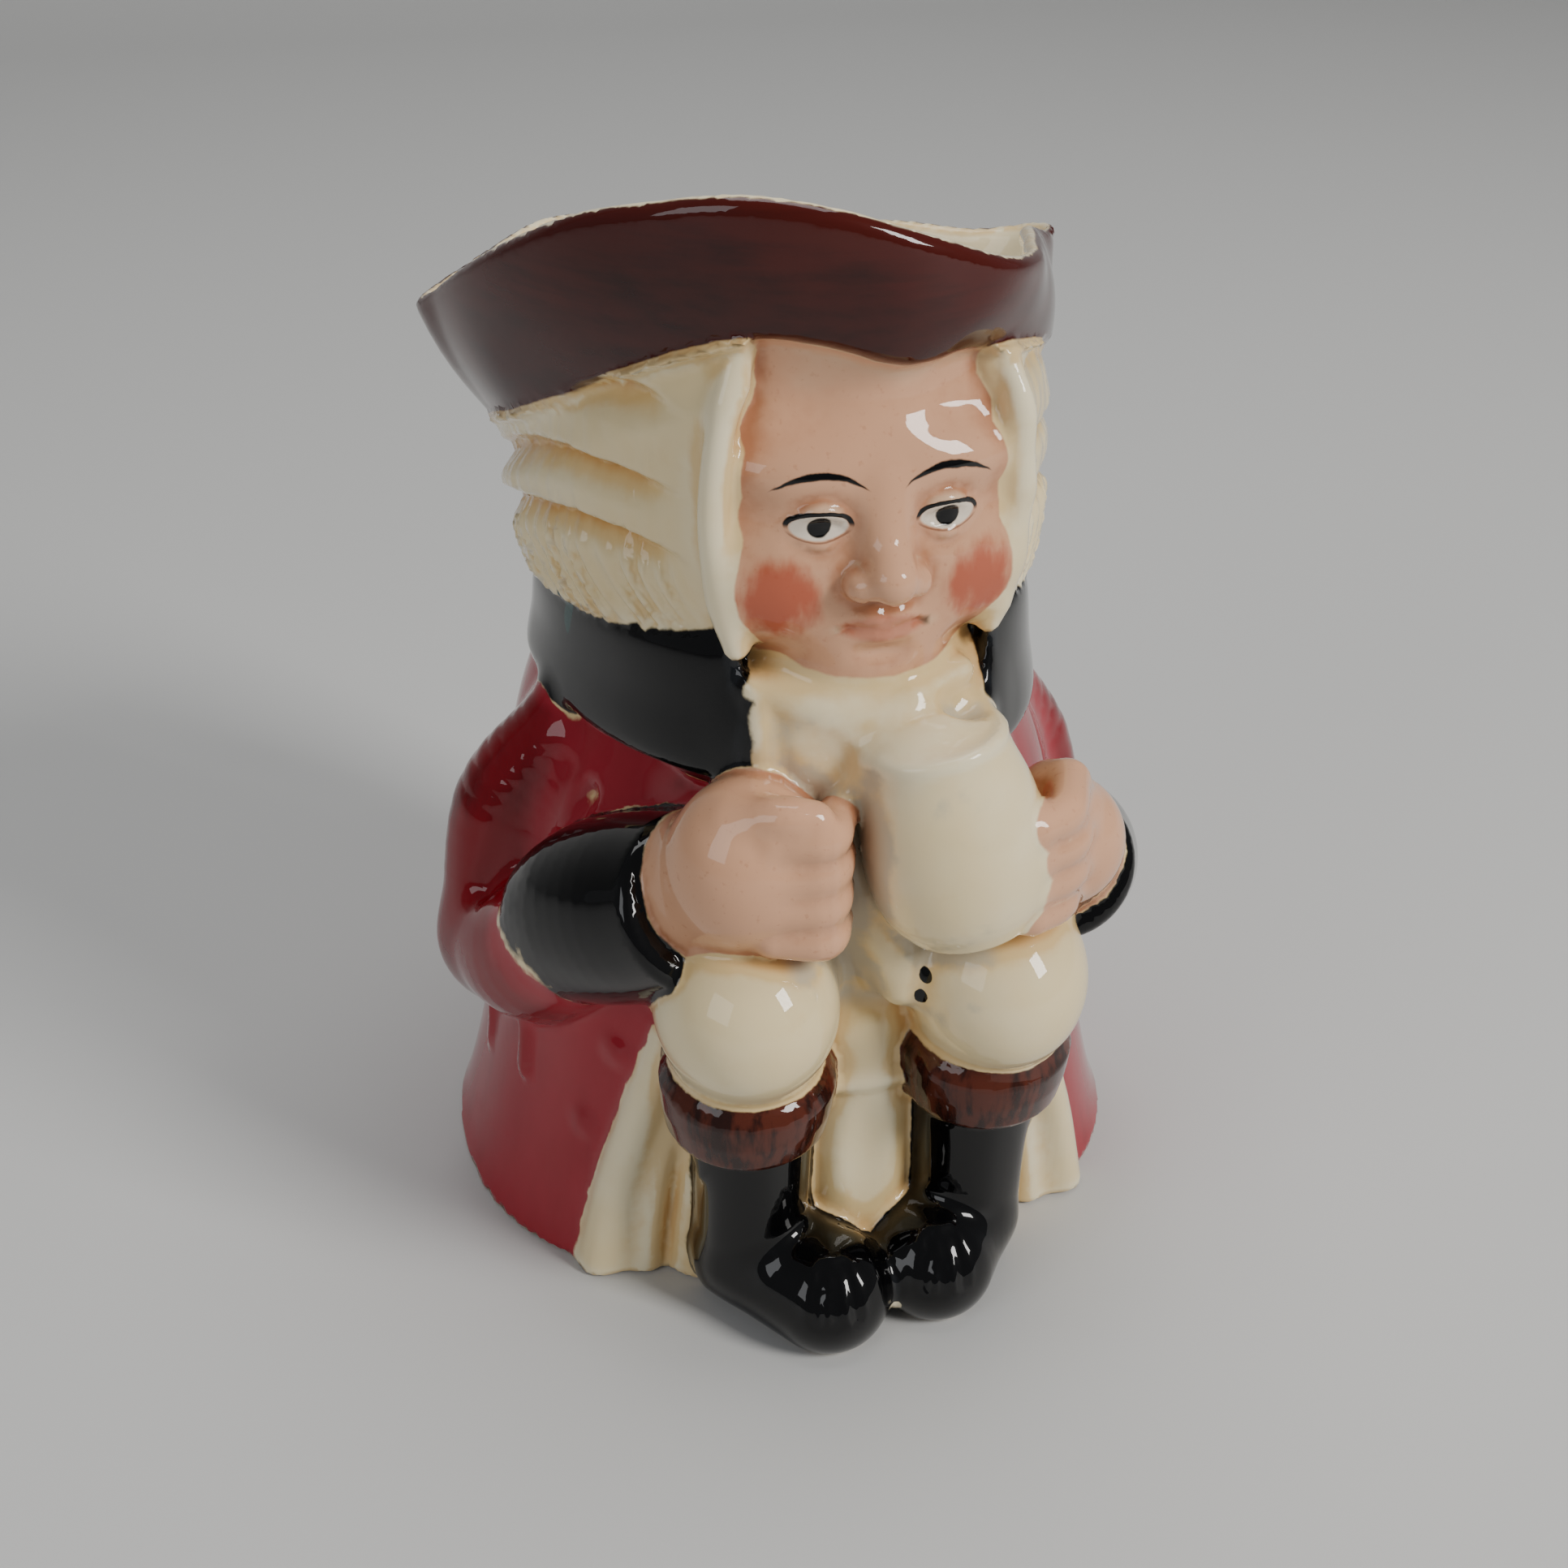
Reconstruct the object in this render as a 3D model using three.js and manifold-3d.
// Toby jug: a seated figure in a three-cornered hat, slip cast in glazed earthenware as one hollow piece.
// Millimetres, +Z up. The figure looks along -Y, and its own left hand is on the +X side.
// The origin is on the underside, under the axis of the vessel.
import * as THREE from 'three';
import { ParametricGeometry } from 'three/addons/geometries/ParametricGeometry.js';
import { mergeVertices } from 'three/addons/utils/BufferGeometryUtils.js';
import Module from 'manifold-3d';

const wasm = await Module();
wasm.setup();

// Driving dimensions in millimetres.
const FIGURE_HEIGHT = 165; // underside to the top of the hat's front brim
const WALL = 4; // thickness of the cast wall
const FLOOR = 6; // thickness of the floor under the hollow
const LIP = 3; // thickness of the hat brim at its edge
const HANDLE_WIDTH = 11; // handle across, along X
const HANDLE_THICKNESS = 8; // handle through, from the finger side to the outer side
const HANDLE_REACH = 70; // from the axis to the outer side of the handle's bow
const MUG_HEIGHT = 28; // the figure's own mug, from its foot to its rim
const MUG_RIM = 8.9; // outer radius of that mug at its rim
const MUG_BELLY = 12.2; // outer radius of that mug at its belly
const HAT_TILT = 3; // degrees that the hat leans to the figure's right

// The figure is laid out on a height of 165 shares, as a modeller scales a clay.
const SHARE = FIGURE_HEIGHT / 165;

// A point of the figure, given in shares.
function at(x, y, z) {
  return new THREE.Vector3(x * SHARE, y * SHARE, z * SHARE);
}

// A closed geometry becomes a solid, with its faces pointing out.
function solid(geometry) {
  const bare = geometry.clone();
  bare.deleteAttribute('normal');
  bare.deleteAttribute('uv');
  const merged = mergeVertices(bare, 1e-4);
  const corners = new Float32Array(merged.attributes.position.array);
  const faces = [];
  const index = merged.index.array;
  let volume = 0;
  for (let i = 0; i < index.length; i += 3) {
    const [a, b, c] = [index[i], index[i + 1], index[i + 2]];
    if (a !== b && b !== c && c !== a) {
      faces.push(a, b, c);
      const p = new THREE.Vector3().fromArray(corners, 3 * a);
      const q = new THREE.Vector3().fromArray(corners, 3 * b);
      const r = new THREE.Vector3().fromArray(corners, 3 * c);
      volume += p.dot(q.cross(r));
    }
  }
  if (volume < 0) {
    faces.reverse();
  }
  const triVerts = new Uint32Array(faces);
  return new wasm.Manifold(new wasm.Mesh({ numProp: 3, vertProperties: corners, triVerts }));
}

// Smooth value at t through keyed rows [t, value], level at both ends.
function through(rows, t) {
  const last = rows.length - 1;
  if (t <= rows[0][0]) return rows[0][1];
  if (t >= rows[last][0]) return rows[last][1];
  let k = 0;
  while (t > rows[k + 1][0]) k += 1;
  const [t0, v0] = rows[k];
  const [t1, v1] = rows[k + 1];
  const span = t1 - t0;
  const slopeAt = (i) => {
    if (i <= 0 || i >= last) return 0;
    return (rows[i + 1][1] - rows[i - 1][1]) / (rows[i + 1][0] - rows[i - 1][0]);
  };
  const s = (t - t0) / span;
  const hump = s * s * (3 - 2 * s);
  const rise = s * (1 - s) * (1 - s) * span;
  const fall = s * s * (s - 1) * span;
  return v0 + (v1 - v0) * hump + rise * slopeAt(k) + fall * slopeAt(k + 1);
}

// An ellipsoid about a point, turned by angles in degrees.
function ball(centre, radii, turn = [0, 0, 0], sides = 16) {
  const shape = new THREE.SphereGeometry(1, sides, Math.round(sides * 0.6));
  shape.rotateX(Math.PI / 2);
  shape.scale(radii[0] * SHARE, radii[1] * SHARE, radii[2] * SHARE);
  shape.rotateX(THREE.MathUtils.degToRad(turn[0]));
  shape.rotateY(THREE.MathUtils.degToRad(turn[1]));
  shape.rotateZ(THREE.MathUtils.degToRad(turn[2]));
  shape.translate(...at(...centre).toArray());
  return solid(shape);
}

// A round limb along points in shares, with a radius at each end and round ends.
function limb(points, radii, sides = 12, steps = 8) {
  const path = new THREE.CatmullRomCurve3(points.map((p) => at(...p)));
  const frames = path.computeFrenetFrames(steps, false);
  const capRings = 2;
  const rings = steps + 2 * capRings;
  const shape = new ParametricGeometry((u, v, target) => {
    const ring = Math.round(v * rings);
    const step = THREE.MathUtils.clamp(ring - capRings, 0, steps);
    const along = step / steps;
    const radius = THREE.MathUtils.lerp(radii[0], radii[1], along) * SHARE;
    const beyond = (ring - capRings - step) / capRings;
    const lean = Math.abs(beyond) * (Math.PI / 2);
    const turn = u * 2 * Math.PI;
    const reach = Math.abs(beyond) === 1 ? 0 : radius * Math.cos(lean);
    target.copy(path.getPointAt(along));
    target.addScaledVector(frames.tangents[step], Math.sign(beyond) * radius * Math.sin(lean));
    target.addScaledVector(frames.normals[step], reach * Math.cos(turn));
    target.addScaledVector(frames.binormals[step], reach * Math.sin(turn));
  }, sides, rings);
  return solid(shape);
}

// The main mass of the vessel, as rings from the foot up to the line where the hat sits.
// Each row: height at the front, at the sides and at the back, half width, middle, front, back, fullness.
const VESSEL_ROWS = [
  [0, 0, 0, 54, 0, 45, 44, 2.35],
  [5, 5, 5, 52, 0, 45, 43.5, 2.35],
  [14, 14, 14, 49.5, 0, 45, 42.5, 2.35],
  [26, 26, 26, 47, 0, 45, 42, 2.3],
  [40, 40, 40, 45, 1, 45, 41.5, 2.3],
  [56, 56, 56, 42.5, 3, 45, 41, 2.2],
  [70, 70, 70, 40, 6, 45, 41, 2.1],
  [81, 80, 80, 36.5, 9, 44, 41, 2.0],
  [90, 88, 87, 33, 9, 41, 39.5, 2.0],
  [99, 96, 94, 32.5, 8, 38, 38, 2.0],
  [108, 103, 98, 34.5, 6, 37, 38, 2.0],
  [119, 110, 103, 35.5, 5, 38, 38, 2.0],
  [132, 117, 107, 35.8, 5, 41, 38, 2.0],
  [146, 124, 112, 36, 5, 46.5, 38, 2.0],
];
const LAST_ROW = VESSEL_ROWS.length - 1;
const HAT_OVERHANG = 2.2; // how far the hat's lower edge stands over the head

// The brim's edge round the hat: angle, reach from the axis, height. Angle 0 is the figure's left,
// 90 the back, 180 the figure's right and 270 the front. The three corners are at 23, 90 and 168.
const BRIM_EDGE = [
  [10, 43, 141.5], [23, 50.5, 139], [35, 46, 137], [50, 43.5, 137], [70, 45.5, 135], [90, 56, 130],
  [110, 45.5, 138], [130, 43.5, 141], [150, 44.5, 140], [168, 50.5, 137.8], [180, 48, 142],
  [194, 47.3, 147.6], [211, 48, 154.5], [225, 49.5, 159.7], [238, 51, 162.7], [250, 52.3, 164.3],
  [262, 53, 162.9], [275, 52.8, 159], [287, 50.5, 155], [300, 44.5, 152.5], [315, 38, 150.5],
  [338, 34.5, 148], [355, 38, 144.5],
];

// Keys round a circle, continued past both ends so that the curve closes on itself.
function roundAbout(keys, column, degrees) {
  const turns = [-360, 0, 360];
  const wrapped = turns.flatMap((turn) => keys.map((key) => [key[0] + turn, key[column]]));
  return through(wrapped, ((degrees % 360) + 360) % 360);
}

// A point on the saddle-shaped ring of a row, inset by a wall in millimetres.
// Its plan is an egg about a middle.
function ringPoint(row, degrees, inset) {
  const [front, flank, back, width, middle, forward, rearward, fullness] = row;
  const angle = THREE.MathUtils.degToRad(degrees);
  const [cosine, sine] = [Math.cos(angle), Math.sin(angle)];
  const depth = (sine < 0 ? forward + middle : rearward - middle) * SHARE - inset;
  const across = Math.sign(cosine) * Math.abs(cosine) ** (2 / fullness);
  const along = Math.sign(sine) * Math.abs(sine) ** (2 / fullness);
  const level = (front + back) / 4 + flank / 2;
  const height = level + ((back - front) / 2) * along + (flank - level) * (1 - 2 * along * along);
  const half = width * SHARE - inset;
  return new THREE.Vector3(half * across, middle * SHARE + depth * along, height * SHARE);
}

// A point of the vessel's skin at a row that may lie between two keyed rows.
function vesselPoint(row, degrees, inset) {
  const columns = VESSEL_ROWS[0].map((_, column) => VESSEL_ROWS.map((keys, i) => [i, keys[column]]));
  return ringPoint(columns.map((keys) => through(keys, row)), degrees, inset);
}

// The hat leans to one side, about a point in the head; the lean grows in between two heights.
const HAT_PIVOT = 92 * SHARE;
const LEAN_FROM = 106 * SHARE;
const LEAN_FULL = 120 * SHARE;
function lean(point) {
  const share = THREE.MathUtils.smoothstep(point.z, LEAN_FROM, LEAN_FULL);
  const turn = -THREE.MathUtils.degToRad(HAT_TILT) * share;
  const offset = new THREE.Vector3(point.x, 0, point.z - HAT_PIVOT);
  offset.applyAxisAngle(new THREE.Vector3(0, 1, 0), turn);
  return new THREE.Vector3(offset.x, point.y, offset.z + HAT_PIVOT);
}

// A point of the hat brim, from the head line (share 0) to the edge (share 1), inset by a wall.
const BRIM_BULGE = 1.2; // how far the brim swells out between the head line and its edge
function brimPoint(share, degrees, inset) {
  const overhang = inset > 0 ? 0 : HAT_OVERHANG * SHARE;
  const foot = lean(vesselPoint(LAST_ROW, degrees, inset - overhang));
  const angle = THREE.MathUtils.degToRad(degrees);
  const reach = roundAbout(BRIM_EDGE, 1, degrees) * SHARE - inset;
  const height = roundAbout(BRIM_EDGE, 2, degrees) * SHARE;
  const edge = new THREE.Vector3(reach * Math.cos(angle), reach * Math.sin(angle), height);
  const out = Math.sin(share * Math.PI) * BRIM_BULGE * SHARE;
  return new THREE.Vector3().lerpVectors(foot, edge, share)
    .add(new THREE.Vector3(Math.cos(angle) * out, Math.sin(angle) * out, 0));
}

// The outer mass of the jug, from the foot to the brim's edge, closed over the top.
const LIP_RISE = 0.7; // how far the middle of the rounded lip stands over its outer edge
function vesselMass() {
  const sides = 36;
  const rowSteps = 10;
  const brimSteps = 3;
  const top = at(0, 5, 128);
  const foot = at(0, 0, 0);
  const rings = rowSteps + brimSteps + 4;
  const shape = new ParametricGeometry((u, v, target) => {
    const ring = Math.round(v * rings);
    const degrees = u * 360;
    if (ring === 0) {
      target.copy(foot);
    } else if (ring <= rowSteps + 1) {
      const row = ((ring - 1) / rowSteps) * LAST_ROW;
      target.copy(lean(vesselPoint(row, degrees, 0)));
    } else if (ring < rings - 1) {
      target.copy(brimPoint((ring - rowSteps - 2) / brimSteps, degrees, 0));
    } else if (ring === rings) {
      target.copy(top);
    } else {
      target.copy(brimPoint(1, degrees, LIP / 2).add(at(0, 0, LIP_RISE)));
    }
  }, sides, rings);
  return solid(shape);
}

// The hollow, a wall inside the vessel's skin, from the floor up through the open hat.
function hollow() {
  const sides = 28;
  const rowSteps = 7;
  const brimSteps = 2;
  const above = 40 * SHARE;
  const floorRow = 1.2;
  const floorCorner = 5;
  const rings = rowSteps + brimSteps + 4;
  const shape = new ParametricGeometry((u, v, target) => {
    const ring = Math.round(v * rings);
    const degrees = u * 360;
    const share = (ring - 1) / rowSteps;
    if (ring === 0 || ring === rings) {
      target.set(0, 0, ring === 0 ? FLOOR : FIGURE_HEIGHT + above);
    } else if (ring <= rowSteps + 1) {
      const row = THREE.MathUtils.lerp(floorRow, LAST_ROW, share);
      const corner = ring === 1 ? floorCorner : 0;
      target.copy(lean(vesselPoint(row, degrees, WALL + corner)));
      if (ring === 1) target.z = FLOOR;
    } else if (ring <= rowSteps + 1 + brimSteps) {
      const up = (ring - rowSteps - 1) / brimSteps;
      target.copy(brimPoint(up, degrees, THREE.MathUtils.lerp(WALL, LIP, up)));
    } else {
      target.copy(brimPoint(1, degrees, LIP));
      target.z += above / 2;
    }
  }, sides, rings);
  return solid(shape);
}

// The turn that lays a form's own Y axis along a direction.
function standing(direction) {
  const upright = new THREE.Vector3(0, 1, 0);
  return new THREE.Quaternion().setFromUnitVectors(upright, direction.clone().normalize());
}

// A short round drum between two points, with softened edges, as a cuff or a boot top.
// Its radii are given at both ends and half way.
function drum(from, to, radii, flat = 1, sides = 14) {
  const start = at(...from);
  const end = at(...to);
  const length = start.distanceTo(end);
  const edge = 1.6 * SHARE;
  const [low, half, high] = radii.map((radius) => radius * SHARE);
  const profile = [
    new THREE.Vector2(0, 0),
    new THREE.Vector2(low - edge, 0),
    new THREE.Vector2(low, edge),
    new THREE.Vector2(half, length / 2),
    new THREE.Vector2(high, length - edge),
    new THREE.Vector2(high - edge, length),
    new THREE.Vector2(0, length),
  ];
  const shape = new THREE.LatheGeometry(profile, sides);
  shape.scale(1, 1, flat);
  shape.applyQuaternion(standing(end.clone().sub(start)));
  shape.translate(start.x, start.y, start.z);
  return solid(shape);
}

// The face: calm and even, its thirds equal from the hat to the brows, to the nose and to the chin.
const CHIN = 101;
const HAIRLINE = VESSEL_ROWS[LAST_ROW][0] - 3;
const THIRD = (HAIRLINE - CHIN) / 3;
const NOSE_BASE = CHIN + THIRD;
const BROW = NOSE_BASE + THIRD;
const EYE_LINE = BROW - THIRD * 0.32;
const MOUTH = NOSE_BASE - THIRD * 0.36;
const FACE_MIDDLE = (CHIN + HAIRLINE) / 2;

function face() {
  const forms = [
    ball([0, -29, FACE_MIDDLE], [22, 20, FACE_MIDDLE - CHIN + 4], [0, 0, 0], 16),
    ball([0, -42, CHIN + 4], [9.5, 6, 5], [0, 0, 0], 10),
    limb([[0, -47, BROW - 1], [0, -51, NOSE_BASE + 6], [0, -53, NOSE_BASE + 2.5]], [1.9, 3.2], 6, 2),
    limb([[-5.5, -46.5, MOUTH + 0.9], [0, -48.3, MOUTH + 1], [5.5, -46.5, MOUTH + 0.9]], [1.2, 1.2], 5, 2),
    limb([[-4, -46.5, MOUTH - 1.6], [0, -47.7, MOUTH - 1.8], [4, -46.5, MOUTH - 1.6]], [1.4, 1.4], 5, 2),
  ];
  for (const side of [-1, 1]) {
    forms.push(ball([side * 3.3, -50.4, NOSE_BASE + 1.6], [2.3, 2.4, 2.1], [0, 0, 0], 6));
    forms.push(limb([[side * 4, -47.6, BROW], [side * 13, -44, BROW]], [1.6, 1.3], 5, 1));
    forms.push(ball([side * 8.2, -45.4, EYE_LINE], [4.4, 2.6, 2.6], [0, 0, 0], 8));
    forms.push(ball([side * 10.5, -42.5, NOSE_BASE + 1], [6.5, 5, 6.5], [0, 0, 0], 8));
  }
  return forms;
}

// The wig: a raised border beside the face, and rolls of hair round each side of the head.
const ROLLS = 4;
const BORDER_RADIUS = 1.9;
const BORDER = [
  [16.5, -44.5, 143], [19.5, -44, 134], [20.5, -43, 124], [19.3, -42, 113], [16.5, -42.5, 106],
];
// The hair round the side of the head: out, along, lowest and highest.
const HAIR = [
  [19, -33.5, 109, 143], [27.4, -21, 105, 135], [32.9, -4, 100, 127], [32.9, 11.7, 97, 122],
  [27.9, 23, 95, 118],
];
function wig() {
  const forms = [];
  for (const side of [-1, 1]) {
    forms.push(limb(BORDER.map(([x, y, z]) => [side * x, y, z]), [BORDER_RADIUS, BORDER_RADIUS], 5, 4));
    for (let roll = 0; roll < ROLLS; roll += 1) {
      const share = (roll + 0.5) / ROLLS;
      const path = HAIR.map(([x, y, low, high]) => [side * x, y, THREE.MathUtils.lerp(low, high, share)]);
      forms.push(limb(path, [4.6, 4.2], 5, 3));
    }
  }
  return forms;
}

// The turned-down collar: a band round the neck, proud at its lower edge, open at the front.
const COLLAR_OPENING = 16.4; // half the opening at the front
function collar() {
  const rows = [
    [88, 81.5, 82, 35.5, 9, 51, 42, 2],
    [89.5, 83, 83.5, 36.8, 9, 52.5, 43, 2],
    [98, 90, 89, 36, 8.5, 51, 42.5, 2],
    [107.5, 97, 94, 35, 8, 48.5, 41.5, 2],
    [109, 98.5, 95.5, 33, 8, 46, 40, 2],
  ];
  const rings = rows.length + 1;
  const shape = new ParametricGeometry((u, v, target) => {
    const ring = Math.round(v * rings);
    const row = rows[THREE.MathUtils.clamp(ring - 1, 0, rows.length - 1)];
    const capped = ring === 0 || ring === rings;
    target.copy(capped ? at(0, row[4], row[1]) : ringPoint(row, u * 360, 0));
  }, 26, rings);
  const opening = new THREE.BoxGeometry(2 * COLLAR_OPENING * SHARE, 60 * SHARE, 60 * SHARE);
  opening.translate(0, -50 * SHARE, 95 * SHARE);
  return solid(shape).subtract(solid(opening));
}

// The arms: a full sleeve to the elbow, a forearm, and a turned-back cuff.
function rightArm() {
  return [
    limb([[-34, -4, 80], [-41, -1, 62], [-43.5, -3, 42]], [9, 11], 10, 2),
    limb([[-43.5, -3, 42], [-41, -18, 48], [-35, -30, 60]], [11, 10.5], 10, 2),
    drum([-43, -18.5, 52.5], [-26.5, -43.5, 68.5], [9.5, 12.6, 11.4]),
    limb([[-30, -38, 66], [-20, -48, 76]], [6, 6.5], 8, 1),
  ];
}

function leftArm() {
  return [
    limb([[30, -2, 80], [37, 0, 62], [40, -3, 42]], [9, 11], 10, 2),
    limb([[40, -3, 42], [40, -12, 46], [36, -26, 56]], [11, 10.5], 10, 2),
    drum([41, -14, 48], [31, -39, 62.5], [9.2, 12, 11]),
    limb([[34, -34, 62], [28, -46, 72]], [6, 6.5], 8, 1),
  ];
}

// The right hand is a loose fist on the chest, its fingers one above the other at its inner end.
function rightHand() {
  const forms = [
    ball([-17.5, -50, 79.5], [10, 10, 11.5], [0, 0, 0], 12),
    ball([-11.3, -54.6, 78.5], [5.2, 4.2, 9.8], [0, 0, 0], 8),
    limb([[-19, -53, 88], [-11, -57, 89]], [3, 2.6], 6, 1),
  ];
  for (let finger = 0; finger < 4; finger += 1) {
    const height = 86 - finger * 5;
    forms.push(limb([[-16, -57, height], [-9.5, -57.5, height], [-7, -52, height]], [3.1, 2.9], 6, 2));
  }
  return forms;
}

// The left hand holds the mug, its fingers one above the other round the side.
function leftHand() {
  const forms = [ball([27, -46.5, 75], [6.5, 8, 11], [0, 0, 0], 10)];
  for (let finger = 0; finger < 4; finger += 1) {
    const height = 83.6 - finger * 5.1;
    const x = finger === 0 || finger === 3 ? 28.2 : 29.2;
    const path = [[x, -48.5, height], [x - 4, -56, height], [18.5, -59.5, height]];
    forms.push(limb(path, [3.1, 2.9], 6, 2));
  }
  return forms;
}

// The mug in the left hand: a pot-bellied turned form on a leaning axis.
const MUG_FOOT = 8; // outer radius at its foot
const MUG_FROM = [12, -54.5, 66.5];
const MUG_TOWARDS = [6.5, -55, 94.5];
function mug() {
  const profile = new THREE.SplineCurve([
    new THREE.Vector2(MUG_FOOT, 1),
    new THREE.Vector2(MUG_BELLY - 1, MUG_HEIGHT * 0.2),
    new THREE.Vector2(MUG_BELLY, MUG_HEIGHT * 0.42),
    new THREE.Vector2(MUG_BELLY - 0.6, MUG_HEIGHT * 0.64),
    new THREE.Vector2(MUG_RIM + 0.5, MUG_HEIGHT * 0.88),
  ]).getPoints(5);
  profile.unshift(new THREE.Vector2(0, 0), new THREE.Vector2(MUG_FOOT - 1, 0));
  profile.push(new THREE.Vector2(MUG_RIM, MUG_HEIGHT));
  profile.push(new THREE.Vector2(0, MUG_HEIGHT));
  const shape = new THREE.LatheGeometry(profile, 16);
  const base = at(...MUG_FROM);
  shape.applyQuaternion(standing(at(...MUG_TOWARDS).sub(base)));
  shape.translate(base.x, base.y, base.z);
  return solid(shape);
}

// The chest with its waistcoat, the fold of the cravat, and the seat between the knees.
function front() {
  return [
    ball([0, -30, 70], [25, 19.5, 34], [0, 0, 0], 12),
    ball([0, -35.5, 93], [18, 12.6, 15], [0, 0, 0], 8),
    ball([6, -44, 90], [10, 9.5, 8], [0, 0, 0], 8),
    limb([[7, -46.5, 98], [1, -49, 92.5], [-5.5, -49.5, 86]], [2.2, 2.4], 6, 2),
    limb([[-14, -43, 99], [0, -47.5, 94.5], [13, -43, 99]], [2.6, 2.6], 6, 3),
    limb([[0, -38.5, 8], [0, -38.5, 45]], [10.5, 10.5], 12, 1),
  ];
}

// One leg: thigh and knee, the boot's turned top, its shaft and a foot that turns inwards.
function leg(side, toe) {
  const x = side * 18;
  return [
    ball([x, -50.5, side < 0 ? 56 : 54.5], [12, 13, 12.5], [0, 0, 0], 14),
    limb([[x * 1.1, -28, 58], [x, -48, 56]], [11.5, 12], 10, 1),
    drum([x * 0.97, -46.5, 32.5], [x * 0.97, -48, 45], [12.6, 12.9, 13.2], 0.9),
    limb([[x * 0.95, -45.5, 34], [x * 0.93, -45, 10]], [9.5, 8.6], 10, 1),
    limb([[x * 0.95, -43.5, 7.5], toe], [8.6, 9.3], 12, 2),
  ];
}

// The fold of lining down the front edge of each coat tail.
function tailFold(side) {
  return limb([[side * 37.5, -34.5, 1], [side * 34, -35.5, 18], [side * 26.5, -38, 44]], [3.2, 2.4], 6, 2);
}

// The shadowed groove between each coat tail and the boot beside it.
function tailGroove(side) {
  return ball([side * 27, -46, 14], [2.6, 10, 24], [0, side * -7, 0], 14);
}

// The handle at the back, an oval bow from the collar down to the coat.
function handle() {
  const oval = new THREE.Shape();
  oval.absellipse(0, 0, HANDLE_THICKNESS / 2, HANDLE_WIDTH / 2, 0, 2 * Math.PI);
  const bow = (HANDLE_REACH - HANDLE_THICKNESS / 2) / SHARE;
  const path = new THREE.CatmullRomCurve3([
    at(0, 32, 101), at(0, bow - 14, 106), at(0, bow - 2, 94), at(0, bow, 80),
    at(0, bow - 2.5, 65), at(0, bow - 13, 48), at(0, 35, 38),
  ]);
  const sweep = { steps: 14, curveSegments: 4, bevelEnabled: false, extrudePath: path };
  return solid(new THREE.ExtrudeGeometry(oval, sweep));
}

// Everything under the table line is cut off flat.
function belowGround() {
  const slab = new THREE.BoxGeometry(300, 300, 60);
  slab.translate(0, 0, -30);
  return solid(slab);
}

const forms = [
  ...face(), ...wig(), collar(), handle(),
  ...rightArm(), ...leftArm(), ...rightHand(), ...leftHand(), mug(), ...front(),
  ...leg(-1, [-7.5, -55.5, 6.8]), ...leg(1, [9.5, -53, 6.8]), tailFold(-1), tailFold(1),
];
const WELD = 0.15; // slivers where two forms meet are smoothed away within this
const jug = forms
  .reduce((whole, form) => whole.add(form), vesselMass())
  .subtract(tailGroove(-1))
  .subtract(tailGroove(1))
  .subtract(hollow())
  .subtract(belowGround())
  .simplify(WELD);

function meshOf(manifold, name, colour, roughness) {
  const result = manifold.getMesh();
  const geometry = new THREE.BufferGeometry();
  geometry.setAttribute('position', new THREE.BufferAttribute(new Float32Array(result.vertProperties), 3));
  geometry.setIndex(new THREE.BufferAttribute(new Uint32Array(result.triVerts), 1));
  geometry.computeVertexNormals();
  const material = new THREE.MeshStandardMaterial({ color: colour, roughness, metalness: 0 });
  const mesh = new THREE.Mesh(geometry, material);
  mesh.name = name;
  return mesh;
}

const group = new THREE.Group();
group.add(meshOf(jug, 'toby_jug', 0xe6d6a8, 0.15));
export default group;
